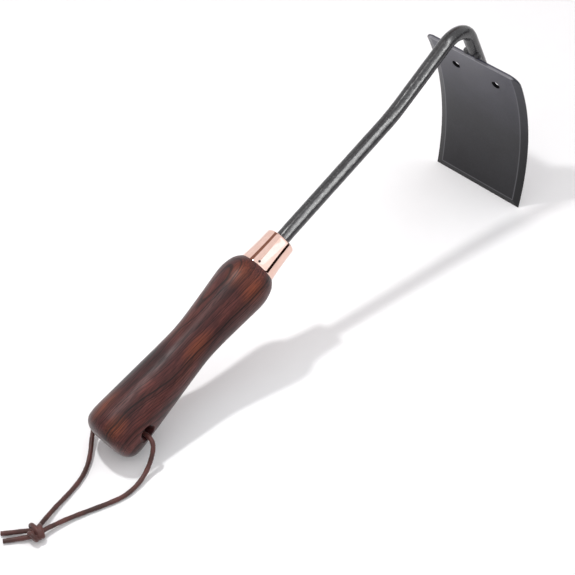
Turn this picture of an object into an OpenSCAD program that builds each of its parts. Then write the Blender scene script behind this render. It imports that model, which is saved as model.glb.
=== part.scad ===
// Hand draw hoe, standing on its cutting edge and on the butt of its grip.
// +X runs from the butt to the blade, +Z is up, and the tool is symmetric about Y = 0.

/* [Grip] */
// Length of the wood, from its butt end to the ferrule
grip_len = 119; // [119:0.5:130]
// Largest radius, near the butt end
butt_r = 16; // [15:0.25:17]
// Smallest radius, at the waist
waist_r = 11.9; // [11:0.1:13]
// Radius of the swell behind the ferrule
swell_r = 14.8; // [14:0.1:15.5]
// Rise of the grip's axis above the ground
grip_tilt = 23; // [21:0.5:25]
// Diameter of the lanyard hole
hang_d = 8; // [7:0.5:9]
// Distance of the lanyard hole from the butt end
hang_u = 17; // [15:0.5:20]

/* [Ferrule] */
// Length of the metal collar
ferrule_len = 20.4; // [18:0.2:22]
// Radius at the wood
ferrule_back_r = 10.2; // [9.8:0.1:10.6]
// Radius at the front
ferrule_front_r = 8.5; // [8:0.1:8.8]
// Thickness of the metal
ferrule_wall = 1; // [0.8:0.1:1.2]

/* [Shank] */
// Diameter of the round steel rod
rod_d = 8; // [7:0.5:9]
// Length of the tang inside the wood and the ferrule
tang_len = 72; // [50:1:80]
// Length of rod from the ferrule to the middle bend
lower_len = 79; // [72:1:90]
// Rise of the lower rod above the ground
lower_rise = 21; // [19:0.5:22]
// Rise of the upper rod above the ground
upper_rise = 30.9; // [29:0.1:32]
// Centreline radius of the neck that turns over the blade
neck_r = 15.8; // [13:0.2:18]
// Length of rod that lies along the blade's back
seat_len = 20; // [14:1:24]

/* [Blade] */
// Height of the blade, straight from its cutting edge to its top edge
blade_h = 107.5; // [100:0.5:112]
// Half the width at the top
top_half_w = 33.4; // [32:0.2:35]
// Half the width at the cutting edge
edge_half_w = 31.4; // [30:0.2:33]
// Thickness of the plate
blade_t = 2; // [1.8:0.1:2.5]
// Radius of the outer face's curve
blade_r = 166; // [150:1:190]
// Width of the bevel along the sides
side_bevel = 4.6; // [3:0.2:6]
// Width of the bevel along the cutting edge
edge_bevel = 4; // [3:0.2:6]
// Radius of the two top corners
corner_r = 7; // [4:0.5:9]
// Diameter of the two holes
hole_d = 5.5; // [4:0.5:6]
// Distance between the two holes
hole_pitch = 28.6; // [24:0.2:32]
// Distance of the holes from the top edge
hole_drop = 18; // [14:0.5:24]

/* [Lanyard] */
// Diameter of the leather cord
cord_d = 2.5; // [2:0.1:3]

/* [Hidden] */
$fn = 64;

// ---- Side view, in the X-Z plane ----------------------------------------
function heading(a) = [cos(a), sin(a)];
function left_of(a) = [-sin(a), cos(a)];

// Distance along the grip's axis, and radius there: butt, waist, swell and shoulder.
butt_round = 7;
butt_flat_r = 8;
rim_r = butt_r - 0.1;
shoulder_r = ferrule_back_r + 0.3;
grip_stations = [
    [butt_round, rim_r], [11, butt_r], [24, 15], [43, 13.5], [57, 12.4], [67, waist_r],
    [77, 12.3], [90, 13.4], [102, swell_r - 0.25], [107, swell_r], [111, swell_r - 0.4],
    [115, 13.3], [117.5, 11.8], [grip_len, shoulder_r]];

// A smooth curve through a list of points, with n pieces between each pair.
function smooth(p, n) = concat([for (i = [0 : len(p) - 2]) for (k = [0 : n - 1])
    let (t = k / n, a = p[max(i - 1, 0)], b = p[i], c = p[i + 1], d = p[min(i + 2, len(p) - 1)])
    0.5 * (2 * b + (c - a) * t + (2 * a - 5 * b + 4 * c - d) * t * t
           + (3 * b - a - 3 * c + d) * t * t * t)], [p[len(p) - 1]]);

// The rim of the butt is a quarter of an ellipse between the flat end and the first station.
butt_rim = [for (a = [180 : -15 : 105])
    [butt_round * (1 + cos(a)), butt_flat_r + (rim_r - butt_flat_r) * sin(a)]];
grip_outline = concat(butt_rim, smooth(grip_stations, 3));

// The grip stands on the lowest point of its rim.
butt_x = -148.8;
butt_z = max([for (p = grip_outline) p[1] * cos(grip_tilt) - p[0] * sin(grip_tilt)]);
function on_grip(u) = [butt_x, butt_z] + u * heading(grip_tilt);

// The blade is an arc about blade_c, from the cutting edge at z = 0 to the top edge.
edge_x = 151.2;
blade_lean = 10.3;
half_arc = asin(blade_h / 2 / blade_r);
edge_a = blade_lean - half_arc;
top_a = blade_lean + half_arc;
blade_c = [edge_x, 0] - blade_r * heading(edge_a);
function on_back(a) = blade_c + blade_r * heading(a);
function drop_a(d) = top_a - d / blade_r * 180 / PI;

// The rod: a stub along the grip, a small set, the lower rod, the middle bend, the upper rod,
// the neck, and the seat on the blade's back, where the rod is ground to a narrow flat.
stub_len = 4;
set_r = 150;
mid_r = 92;
seat_at = 9;
seat_a = drop_a(seat_at);
seat_fall = seat_a - 90;
seat_grind = 1;
set_turn = grip_tilt - lower_rise;
mid_turn = upper_rise - lower_rise;
neck_turn = upper_rise - seat_fall;
function bend_down(p, a, turn, r) = p - r * left_of(a) + r * left_of(a - turn);
function bend_up(p, a, turn, r) = p + r * left_of(a) - r * left_of(a + turn);

stub_end = on_grip(grip_len + ferrule_len + stub_len);
set_end = bend_down(stub_end, grip_tilt, set_turn, set_r);
lower_end = set_end + (lower_len - stub_len) * heading(lower_rise);
mid_end = bend_up(lower_end, lower_rise, mid_turn, mid_r);
neck_shift = bend_down([0, 0], upper_rise, neck_turn, neck_r);
seat_line = blade_c + (blade_r + rod_d / 2 - seat_grind) * heading(seat_a);
upper_len = (seat_line - mid_end - neck_shift) * heading(seat_a)
            / (heading(upper_rise) * heading(seat_a));
upper_end = mid_end + upper_len * heading(upper_rise);
neck_end = upper_end + neck_shift;
fall_len = (on_back(top_a) - neck_end) * heading(seat_fall) + seat_len;

module at(p) translate([p[0], 0, p[1]]) children();
module along_grip(u) at(on_grip(u)) rotate([0, 90 - grip_tilt, 0]) children();
module both_sides() {
    children();
    mirror([0, 1, 0]) children();
}

// ---- Grip and ferrule ---------------------------------------------------
tenon_len = ferrule_len - 3;
bore_start = grip_len + ferrule_len - tang_len;
bore_d = 8.4;
mouth_y = lookup(hang_u, grip_stations) - 1.1;
mouth_depth = 3;
front_wall = 1.6;
front_round = 1.5;
inner_steps = [0 : 0.125 : 0.75];

function ferrule_r(t) = ferrule_front_r
    + (ferrule_back_r - ferrule_front_r) * pow(1 - t, 1.6);
function ferrule_inside(end_u) = concat(
    [for (t = inner_steps) [ferrule_r(t) - ferrule_wall, grip_len + t * ferrule_len]],
    [[ferrule_r(1) - ferrule_wall, end_u]]);
function reversed(p) = [for (i = [len(p) - 1 : -1 : 0]) p[i]];

// The brad goes in from the top of the ferrule, turned a little to the right.
brad_d = 1.3;
brad_u = 1.9;
brad_turn = 25;
brad_depth = 5;
module brad_shape(spare) along_grip(grip_len + brad_u) rotate([0, 0, 180 + brad_turn])
    rotate([0, 90, 0]) translate([0, 0, ferrule_back_r - brad_depth])
        cylinder(d = brad_d, h = brad_depth + spare);

module grip() color([0.34, 0.14, 0.12]) difference() {
    along_grip(0) rotate_extrude() polygon(concat(
        [[0, 0]],
        [for (p = grip_outline) [p[1], p[0]]],
        ferrule_inside(grip_len + tenon_len),
        [[0, grip_len + tenon_len]]));
    along_grip(bore_start) cylinder(d = bore_d, h = tang_len);
    at(on_grip(hang_u)) rotate([90, 0, 0]) cylinder(d = hang_d, h = 4 * butt_r, center = true);
    both_sides() at(on_grip(hang_u)) translate([0, mouth_y, 0]) rotate([-90, 0, 0])
        cylinder(d1 = hang_d, d2 = hang_d + 2 * mouth_depth, h = mouth_depth);
    brad_shape(1);
}

module ferrule() color([0.85, 0.6, 0.52]) difference() {
    along_grip(0) rotate_extrude() polygon(concat(
        [for (t = [0 : 0.125 : 0.875]) [ferrule_r(t), grip_len + t * ferrule_len]],
        [for (a = [0 : 15 : 90]) [ferrule_front_r - front_round * (1 - cos(a)),
                                  grip_len + ferrule_len - front_round * (1 - sin(a))]],
        [[rod_d / 2, grip_len + ferrule_len], [rod_d / 2, grip_len + ferrule_len - front_wall]],
        reversed(ferrule_inside(grip_len + ferrule_len - front_wall))));
    brad_shape(1);
}

module ferrule_brad() color([0.35, 0.25, 0.2]) brad_shape(0.1);

module tang_resin() color([0.8, 0.72, 0.5]) difference() {
    along_grip(bore_start) cylinder(d = bore_d, h = grip_len + tenon_len - bore_start);
    tang();
}

// ---- Shank --------------------------------------------------------------
// One bent rod: rings of points along its path, each [centre, rise, radius], skinned in order.
tang_d = 7;
tang_gap = 1;
rod_shoulder = 2;
rod_sides = 24;
fall_step = 2.5;

function arc_down(p, a, turn, r, n) = [for (i = [1 : n])
    [bend_down(p, a, turn * i / n, r), a - turn * i / n, rod_d / 2]];
function arc_up(p, a, turn, r, n) = [for (i = [1 : n])
    [bend_up(p, a, turn * i / n, r), a + turn * i / n, rod_d / 2]];
tang_end = grip_len + ferrule_len - rod_shoulder;
rod_rings = concat(
    [[on_grip(bore_start + tang_gap), grip_tilt, tang_d / 2],
     [on_grip(tang_end), grip_tilt, tang_d / 2],
     [on_grip(tang_end), grip_tilt, rod_d / 2],
     [stub_end, grip_tilt, rod_d / 2]],
    arc_down(stub_end, grip_tilt, set_turn, set_r, 2),
    [[lower_end, lower_rise, rod_d / 2]],
    arc_up(lower_end, lower_rise, mid_turn, mid_r, 4),
    [[upper_end, upper_rise, rod_d / 2]],
    arc_down(upper_end, upper_rise, neck_turn, neck_r, 14),
    [for (d = [fall_len % fall_step + fall_step : fall_step : fall_len])
        [neck_end + d * heading(seat_fall), seat_fall, rod_d / 2]]);

// Below the blade's top edge the rod is ground to the plate's back.
grind_above = 1;
grind_depth = 2;
function ground(q) = let (v = [q[0], q[2]] - blade_c, d = norm(v))
    (v * left_of(top_a) < grind_above && d < blade_r && d > blade_r - grind_depth)
        ? [blade_c[0] + v[0] * blade_r / d, q[1], blade_c[1] + v[1] * blade_r / d] : q;
function rod_ring(g) = [for (k = [0 : rod_sides - 1]) let (t = 360 * k / rod_sides,
    up = left_of(g[1]))
    ground([g[0][0] + g[2] * cos(t) * up[0], -g[2] * sin(t), g[0][1] + g[2] * cos(t) * up[1]])];

// Closes a stack of rings, each a list of points that turns the right way about the path.
module skin(rings) {
    n = len(rings[0]);
    last = (len(rings) - 1) * n;
    walls = [for (i = [0 : len(rings) - 2]) for (k = [0 : n - 1]) let (m = (k + 1) % n)
        [i * n + k, (i + 1) * n + k, (i + 1) * n + m, i * n + m]];
    polyhedron([for (ring = rings) each ring], concat(
        [[for (k = [0 : n - 1]) k]], walls, [[for (k = [n - 1 : -1 : 0]) last + k]]));
}

module tang() along_grip(bore_start + tang_gap) cylinder(d = tang_d, h = tang_len - tang_gap);
module shank() color([0.3, 0.3, 0.32]) skin([for (g = rod_rings) rod_ring(g)]);

// ---- Blade --------------------------------------------------------------
side_land = 0.6;
edge_land = 0.5;
bevel_cut = 6;
slack = 8;
taper_back = 34;

module plate() at(blade_c) rotate([90, 0, 0]) rotate([0, 0, edge_a])
    rotate_extrude(angle = top_a - edge_a) polygon([
        [blade_r, -top_half_w], [blade_r, top_half_w],
        [blade_r - side_land, top_half_w], [blade_r - blade_t, top_half_w - side_bevel],
        [blade_r - blade_t, side_bevel - top_half_w], [blade_r - side_land, -top_half_w]]);

module taper() {
    top_z = on_back(top_a)[1];
    spread = (top_half_w - edge_half_w) / top_z * slack;
    low_w = edge_half_w - spread;
    high_w = top_half_w + spread;
    translate([edge_x - taper_back, 0, 0]) rotate([90, 0, 90]) linear_extrude(6 * slack)
        polygon([[-low_w, -slack], [low_w, -slack],
                 [high_w, top_z + slack], [-high_w, top_z + slack]]);
}

module edge_bevel_cutter() {
    a = blade_c + (blade_r - blade_t) * heading(edge_a + edge_bevel / blade_r * 180 / PI);
    b = blade_c + (blade_r - edge_land) * heading(edge_a);
    d = (b - a) / norm(b - a);
    in = -bevel_cut * heading(edge_a);
    rotate([90, 0, 0]) linear_extrude(4 * top_half_w, center = true)
        polygon([a - d, b + 2 * d, b + 2 * d + in, a - d + in]);
}

module top_corner_cutter() at(on_back(top_a)) translate([0, top_half_w, 0]) rotate([0, -top_a, 0])
    difference() {
        translate([-slack, -corner_r, -corner_r]) cube([2 * slack, corner_r + 2, corner_r + 2]);
        translate([-2 * slack, -corner_r, -corner_r]) rotate([0, 90, 0])
            cylinder(r = corner_r, h = 4 * slack);
    }

module blade() color([0.36, 0.36, 0.4]) difference() {
    intersection() {
        plate();
        taper();
    }
    edge_bevel_cutter();
    both_sides() top_corner_cutter();
    both_sides() at(on_back(drop_a(hole_drop))) translate([0, hole_pitch / 2, 0])
        rotate([0, 90 - drop_a(hole_drop), 0]) cylinder(d = hole_d, h = 2 * slack, center = true);
}

// ---- Weld ---------------------------------------------------------------
// A lumpy fillet on each side of the rod, from the plate's top edge to the rod's end.
weld_rings = 14;
weld_start = -1.2;
weld_pitch = 1.6;
foot_y = 2.2;
weld_leg = 2.9;
weld_wave = 0.6;
weld_turn = 137;
weld_bulge = [0.95, 2.2];
weld_grip = [-8, -26, -42];

function rod_lift(d) = rod_d / 2 - seat_grind + pow(d - seat_at, 2) / (2 * blade_r);
function on_rod(a, lift) = [rod_d / 2 * cos(a), lift + rod_d / 2 * sin(a)];
function weld_section(d, leg) = let (lift = rod_lift(d), toe = [foot_y + leg, 0],
    top = on_rod(weld_grip[0], lift), mid = [foot_y + weld_bulge[0] * leg, weld_bulge[1]])
    concat([[foot_y, 0]],
           [for (t = [0 : 0.25 : 1]) (1 - t) * (1 - t) * toe + 2 * t * (1 - t) * mid + t * t * top],
           [on_rod(weld_grip[1], lift), on_rod(weld_grip[2], lift)]);
function weld_ring(d, leg) = [for (q = weld_section(d, leg)) let (a = drop_a(d),
    p = on_back(a) + q[1] * heading(a)) [p[0], q[0], p[1]]];
module weld() color([0.16, 0.16, 0.17]) skin([for (i = [0 : weld_rings - 1])
    weld_ring(weld_start + i * weld_pitch, weld_leg + weld_wave * sin(i * weld_turn))]);
module weld_left() weld();
module weld_right() mirror([0, 1, 0]) weld();

// ---- Lanyard ------------------------------------------------------------
// One leather cord through the grip. Each half runs from the middle of the hole to the knot.
left_route = [
    [-133.2, 0, 16.3], [-133.2, 5, 16.3], [-133.2, 10, 16.3], [-133.2, 15, 16.3],
    [-133.3, 17.8, 15.8], [-134, 19.9, 14], [-135.5, 20.8, 11.5], [-138, 20.1, 9.1],
    [-141.2, 18.1, 7], [-144.7, 15.4, 5.5], [-148.5, 12.2, 4.2], [-153.3, 7.8, 2.8],
    [-158.6, 3.6, 2], [-164.2, 0.3, 1.6], [-170, -2, 1.5], [-176, -3.6, 1.5],
    [-182, -4.9, 1.7], [-188, -6.2, 2.1], [-193.6, -7.8, 2.7], [-198.6, -9.4, 3.4],
    [-202.8, -10.9, 3.9]];
right_route = [
    [-133.2, 0, 16.3], [-133.2, -5, 16.3], [-133.2, -10, 16.3], [-133.2, -15, 16.3],
    [-133.5, -17.8, 15.7], [-134.3, -19.7, 13.9], [-135.6, -20.7, 11.3], [-137.4, -21.4, 8.6],
    [-140, -22.3, 6], [-143.6, -23.4, 3.9], [-148.4, -24.6, 2.5], [-153.8, -25.3, 1.8],
    [-159.8, -25.2, 1.5], [-166, -23.7, 1.4], [-172.2, -21.6, 1.4], [-178.4, -19.4, 1.5],
    [-184.6, -17.4, 1.8], [-190.4, -15.9, 2.3], [-196, -14.9, 2.9], [-200, -14.3, 3.4],
    [-203.2, -14, 3.8]];
tail_routes = [
    [[-205.4, -11.4, 4.2], [-208.2, -8.2, 3.4], [-211.2, -4.9, 2.5], [-214.3, -1.8, 1.8],
     [-217.3, 1, 1.5]],
    [[-206, -14.2, 3.4], [-209.2, -11.4, 2.5], [-212.6, -8.6, 1.9], [-216, -5.9, 1.5],
     [-219.4, -3.3, 1.4]]];
knot_at = [-205.4, -12.6, 3.9];
knot_across = [0.38, 0.92, 0];
knot_r = 3.8;
knot_half = 2.5;
cord_sides = 8;
ring_ref = [1, 0, -1];

function unit(v) = v / norm(v);
function run(p, i) = unit(p[min(i + 1, len(p) - 1)] - p[max(i - 1, 0)]);
function cord_ring(p, i, r) = let (t = run(p, i), a = unit(cross(t, ring_ref)), b = cross(t, a))
    [for (k = [0 : cord_sides - 1])
        p[i] + r * (cos(360 * k / cord_sides) * a + sin(360 * k / cord_sides) * b)];
module tube(p) skin([for (i = [0 : len(p) - 1]) cord_ring(p, i, cord_d / 2)]);

module lanyard_left() color([0.3, 0.16, 0.14]) tube(left_route);
module lanyard_right() color([0.3, 0.16, 0.14]) tube(right_route);
module lanyard_tails() color([0.3, 0.16, 0.14])
    for (route = tail_routes) tube(route);
module lanyard_knot() color([0.26, 0.13, 0.11]) difference() {
    hull() for (s = [-1, 1])
        translate(knot_at + s * knot_half * knot_across) sphere(r = knot_r, $fn = 20);
    lanyard_left();
    lanyard_right();
    lanyard_tails();
}

grip();
ferrule();
ferrule_brad();
tang_resin();
shank();
blade();
weld_left();
weld_right();
lanyard_left();
lanyard_right();
lanyard_knot();
lanyard_tails();
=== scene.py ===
# %% [markdown]
# # A hand draw hoe, made piece by piece
# A draw hoe is pulled towards the gardener. Its curved blade stands on the cutting edge, and a
# round rod runs back from it to a short wooden grip with a leather lanyard. We model each real
# piece as its own mesh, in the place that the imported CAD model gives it.
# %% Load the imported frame
import math

import bpy
from mathutils import Matrix, Vector


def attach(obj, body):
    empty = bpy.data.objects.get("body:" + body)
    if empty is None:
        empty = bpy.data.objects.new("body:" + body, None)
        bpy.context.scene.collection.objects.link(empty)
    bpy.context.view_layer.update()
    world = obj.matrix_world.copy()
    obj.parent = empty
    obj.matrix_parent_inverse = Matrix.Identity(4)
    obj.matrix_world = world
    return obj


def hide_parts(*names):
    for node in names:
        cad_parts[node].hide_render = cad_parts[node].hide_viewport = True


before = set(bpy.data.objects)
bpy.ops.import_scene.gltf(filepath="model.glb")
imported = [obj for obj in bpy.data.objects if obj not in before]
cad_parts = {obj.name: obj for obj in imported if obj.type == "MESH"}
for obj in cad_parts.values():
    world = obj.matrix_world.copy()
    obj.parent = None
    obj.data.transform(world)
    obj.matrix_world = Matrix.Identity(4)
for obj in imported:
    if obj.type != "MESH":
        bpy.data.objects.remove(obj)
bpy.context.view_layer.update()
MM = 0.001
WELD_GAP = 0.002 * MM   # vertices nearer than this are one vertex
print("CAD nodes:", ", ".join(sorted(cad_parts)))

# %% [markdown]
# ## The camera
# A product shot needs a long lens, so that the tool isn't stretched by perspective. We could turn
# the camera with angles, but three perpendicular directions say exactly how it is held: what is to
# its right, what is above it and what is ahead.
# %% Place the camera
EYE = Vector((-0.46037, -0.42859, 0.62538))
TO_RIGHT = Vector((0.69275, -0.72118, -0.00207))
TO_TOP = Vector((0.50215, 0.48029, 0.71914))
AHEAD = Vector((0.51763, 0.49922, -0.69486))
bpy.ops.object.select_all(action="DESELECT")
bpy.ops.object.camera_add()
camera = bpy.context.object
camera.name = "camera"
camera.matrix_world = (Matrix.Translation(EYE)
                       @ Matrix((TO_RIGHT, TO_TOP, -AHEAD)).transposed().to_4x4())
camera.data.sensor_width = 36
camera.data.lens = 99.14
bpy.context.scene.camera = camera
print("lens", camera.data.lens, "mm")

# %% [markdown]
# ## Small helpers
# An operator acts on whatever is selected, so the first helpers pick nothing, or just one piece.
# The others are the maker's machines: one smooths a line through points, one turns an outline on a
# lathe with the spin operator, one sweeps a round tube along a path, and one finishes a piece with
# a modifier that is applied at once.
# %% Helpers for picking and finishing
def pick_nothing():
    """Leave edit mode and deselect every object."""
    if bpy.context.object and bpy.context.object.mode != "OBJECT":
        bpy.ops.object.mode_set(mode="OBJECT")
    bpy.ops.object.select_all(action="DESELECT")


def pick(*pieces):
    """Select only these pieces. The first one is active."""
    pick_nothing()
    for piece in pieces:
        piece.select_set(True)
    bpy.context.view_layer.objects.active = pieces[0]


def finish_with(piece, kind, **settings):
    """Add a modifier, set it and apply it."""
    pick(piece)
    modifier = piece.modifiers.new(kind.title(), kind)
    for name, value in settings.items():
        setattr(modifier, name, value)
    bpy.ops.object.modifier_apply(modifier=modifier.name)


def settle(piece, place=None):
    """Put the piece in its place, then store the place in the mesh."""
    pick(piece)
    if place is not None:
        piece.matrix_world = place
    bpy.ops.object.transform_apply(location=True, rotation=True, scale=True)


def smooth_shade(piece, degrees=35):
    """Shade the curved faces smooth and keep the sharp edges."""
    pick(piece)
    bpy.ops.object.shade_smooth_by_angle(angle=math.radians(degrees))


def smooth_line(points, pieces):
    """Points on a smooth curve through the given points."""
    line = []
    for i in range(len(points) - 1):
        a, b = Vector(points[max(i - 1, 0)]), Vector(points[i])
        c, d = Vector(points[i + 1]), Vector(points[min(i + 2, len(points) - 1)])
        for k in range(pieces):
            t = k / pieces
            line.append(0.5 * (2 * b + (c - a) * t + (2 * a - 5 * b + 4 * c - d) * t ** 2
                               + (3 * b - a - 3 * c + d) * t ** 3))
    return line + [Vector(points[-1])]


# %% [markdown]
# The lathe starts from one vertex. It is extruded from point to point along half of the outline,
# and the spin operator turns that line once round the X axis. Points that lie on the axis meet
# there, so merging the doubles closes the ends.
# %% The lathe: an outline turned about its own X axis
def turned(name, outline, place, steps=96):
    """outline is a list of (distance along the axis, radius) in millimetres."""
    pick_nothing()
    bpy.ops.mesh.primitive_plane_add(size=MM)
    piece = bpy.context.object
    piece.name = name
    bpy.ops.object.mode_set(mode="EDIT")
    bpy.ops.mesh.select_all(action="SELECT")
    bpy.ops.mesh.merge(type="CENTER")
    x, r = outline[0]
    bpy.ops.transform.translate(value=(x * MM, 0, r * MM))
    for (x0, r0), (x1, r1) in zip(outline, outline[1:]):
        bpy.ops.mesh.extrude_vertices_move(
            TRANSFORM_OT_translate={"value": ((x1 - x0) * MM, 0, (r1 - r0) * MM)})
    bpy.ops.mesh.select_all(action="SELECT")
    bpy.ops.mesh.spin(steps=steps, angle=2 * math.pi, center=(0, 0, 0), axis=(1, 0, 0))
    bpy.ops.mesh.select_all(action="SELECT")
    bpy.ops.mesh.remove_doubles(threshold=WELD_GAP)
    bpy.ops.mesh.normals_make_consistent(inside=False)
    bpy.ops.object.mode_set(mode="OBJECT")
    settle(piece, place)
    return piece


# %% [markdown]
# A tube along a path is easiest as a curve with a round bevel. The curve becomes a mesh at once,
# because only a mesh can be dented and bevelled.
# %% The sweep: a round tube along a path
def swept(name, points, radius, thickness=None, sides=4):
    """points are in metres. thickness gives a factor of the radius at each point."""
    data = bpy.data.curves.new(name, "CURVE")
    data.dimensions = "3D"
    data.bevel_depth = radius
    data.bevel_resolution = sides
    data.use_fill_caps = True
    line = data.splines.new("POLY")
    line.points.add(len(points) - 1)
    for i, (spot, p) in enumerate(zip(line.points, points)):
        spot.co = (*p, 1)
        spot.radius = thickness[i] if thickness else 1
    piece = bpy.data.objects.new(name, data)
    bpy.context.scene.collection.objects.link(piece)
    pick(piece)
    bpy.ops.object.convert(target="MESH")
    bpy.ops.object.mode_set(mode="EDIT")
    bpy.ops.mesh.select_all(action="SELECT")
    bpy.ops.mesh.remove_doubles(threshold=WELD_GAP)
    bpy.ops.mesh.normals_make_consistent(inside=False)
    bpy.ops.object.mode_set(mode="OBJECT")
    return piece


# %% [markdown]
# ## The lanyard's two strands
# The lanyard is one round leather lace, 2.5 mm thick. It goes through a hole in the grip, and its
# two strands lie loosely on the ground and end in a knot. A lace is limp, so each strand leaves the
# hole, drops, and then lies flat. We sweep a tube along a smooth route through measured points,
# which suits a lace better than a simulation, because the knot fixes both its ends.
# %% Routes of the strands, in metres
LEFT_ROUTE = [
    (-0.1332, 0, 0.0163), (-0.1332, 0.005, 0.0163), (-0.1332, 0.01, 0.0163),
    (-0.1332, 0.015, 0.0163), (-0.1333, 0.0178, 0.0158), (-0.134, 0.0199, 0.014),
    (-0.1355, 0.0208, 0.0115), (-0.138, 0.0201, 0.0091), (-0.1412, 0.0181, 0.007),
    (-0.1447, 0.0154, 0.0055), (-0.1485, 0.0122, 0.0042), (-0.1533, 0.0078, 0.0028),
    (-0.1586, 0.0036, 0.002), (-0.1642, 0.0003, 0.0016), (-0.17, -0.002, 0.0015),
    (-0.176, -0.0036, 0.0015), (-0.182, -0.0049, 0.0017), (-0.188, -0.0062, 0.0021),
    (-0.1936, -0.0078, 0.0027), (-0.1986, -0.0094, 0.0034), (-0.2028, -0.0109, 0.0039)]
RIGHT_ROUTE = [
    (-0.1332, 0, 0.0163), (-0.1332, -0.005, 0.0163), (-0.1332, -0.01, 0.0163),
    (-0.1332, -0.015, 0.0163), (-0.1335, -0.0178, 0.0157), (-0.1343, -0.0197, 0.0139),
    (-0.1356, -0.0207, 0.0113), (-0.1374, -0.0214, 0.0086), (-0.14, -0.0223, 0.006),
    (-0.1436, -0.0234, 0.0039), (-0.1484, -0.0246, 0.0025), (-0.1538, -0.0253, 0.0018),
    (-0.1598, -0.0252, 0.0015), (-0.166, -0.0237, 0.0014), (-0.1722, -0.0216, 0.0014),
    (-0.1784, -0.0194, 0.0015), (-0.1846, -0.0174, 0.0018), (-0.1904, -0.0159, 0.0023),
    (-0.196, -0.0149, 0.0029), (-0.2, -0.0143, 0.0034), (-0.2032, -0.014, 0.0038)]
LACE_D = 0.0025


def lace(name, route):
    """A strand of lace along a route, a little uneven as cut leather is."""
    line = smooth_line(route, 5)
    wave = [1 + 0.035 * math.sin(0.9 * i) + 0.025 * math.sin(2.3 * i + 1)
            for i in range(len(line))]
    strand = swept(name, line, LACE_D / 2, wave, sides=5)
    smooth_shade(strand, 60)
    return strand, line


strand_left, left_line = lace("lace_left", LEFT_ROUTE)
strand_right, right_line = lace("lace_right", RIGHT_ROUTE)
print("strands:", [round(sum((b - a).length for a, b in zip(l, l[1:])), 4)
                   for l in (left_line, right_line)], "m")

# %% [markdown]
# ## The knot and its two tails
# Both strands are tied together in one overhand knot, and the two tails stick out behind it. A real
# knot could be traced as one long path, but only its wraps show. So we make three rings with the
# torus primitive, stretch each one to an oval and tilt it, add a core that hides the gaps, and fuse
# them with a voxel remesh.
# %% The wraps of the knot
KNOT_AT = Vector((-0.2054, -0.0126, 0.0039))
RING_TUBE = 0.3   # thickness of the ring's tube as it is added, where the ring's radius is 1
ACROSS = Vector((0.38, 0.92, 0)).normalized()
TOWARDS_TAILS = Vector((-0.92, 0.38, 0)).normalized()


def fused(parts, name, voxel, rounds):
    """Join overlapping solids into one closed skin."""
    pick(*parts)
    bpy.ops.object.join()
    piece = bpy.context.object
    piece.name = name
    finish_with(piece, "REMESH", mode="VOXEL", voxel_size=voxel)
    finish_with(piece, "SMOOTH", factor=0.5, iterations=rounds)
    return piece


def wrap(along, across, half_wide, half_high, turn, lean):
    """One turn of lace about the knot. Lengths in millimetres, angles in degrees."""
    pick_nothing()
    bpy.ops.mesh.primitive_torus_add(major_segments=40, minor_segments=14,
                                     major_radius=1, minor_radius=RING_TUBE)
    ring = bpy.context.object
    for v in ring.data.vertices:
        flat = Vector((v.co.x, v.co.y, 0)).normalized()
        tube = (v.co - flat) / RING_TUBE
        middle = Vector((flat.x * half_wide, flat.y * half_high, 0)) * MM
        v.co = middle + tube * LACE_D / 2
    axes = Matrix((ACROSS, Vector((0, 0, 1)), TOWARDS_TAILS)).transposed().to_4x4()
    settle(ring, Matrix.Translation(KNOT_AT + along * MM * TOWARDS_TAILS + across * MM * ACROSS)
           @ Matrix.Rotation(math.radians(turn), 4, "Z")
           @ Matrix.Rotation(math.radians(lean), 4, ACROSS) @ axes)
    return ring


def knot_core():
    """A small lump that fills the middle of the knot."""
    pick_nothing()
    bpy.ops.mesh.primitive_uv_sphere_add(segments=24, ring_count=12, radius=2.3 * MM)
    core = bpy.context.object
    settle(core, Matrix.Translation(KNOT_AT) @ Matrix.Diagonal((1.1, 1.2, 0.9, 1)))
    return core


knot = fused([wrap(0.5, 0.6, 4.4, 2.1, 14, 8), wrap(-2.1, -0.3, 3.1, 2.0, -4, -6),
              wrap(2.6, -1.9, 2.5, 1.9, 24, -14), knot_core()], "lace_knot", 0.28 * MM, 2)
smooth_shade(knot, 60)
print("knot:", len(knot.data.polygons), "faces")

# %% [markdown]
# The tails are the same lace, cut square. They lie side by side on the ground. Both are swept and
# joined into one piece, because the CAD model keeps them as one node.
# %% The tails
TAIL_ROUTES = [
    [(-0.2054, -0.0114, 0.0042), (-0.2082, -0.0082, 0.0034), (-0.2112, -0.0049, 0.0025),
     (-0.2143, -0.0018, 0.0018), (-0.2173, 0.001, 0.0015)],
    [(-0.206, -0.0142, 0.0034), (-0.2092, -0.0114, 0.0025), (-0.2126, -0.0086, 0.0019),
     (-0.216, -0.0059, 0.0015), (-0.2194, -0.0033, 0.0014)]]
tails = [lace("lace_tails", route)[0] for route in TAIL_ROUTES]
pick(*tails)
bpy.ops.object.join()
tails = bpy.context.object
tails.name = "lace_tails"
for piece, node in ((strand_left, "lanyard_left"), (strand_right, "lanyard_right"),
                    (knot, "lanyard_knot"), (tails, "lanyard_tails")):
    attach(piece, "root")
    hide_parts(node)

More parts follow.
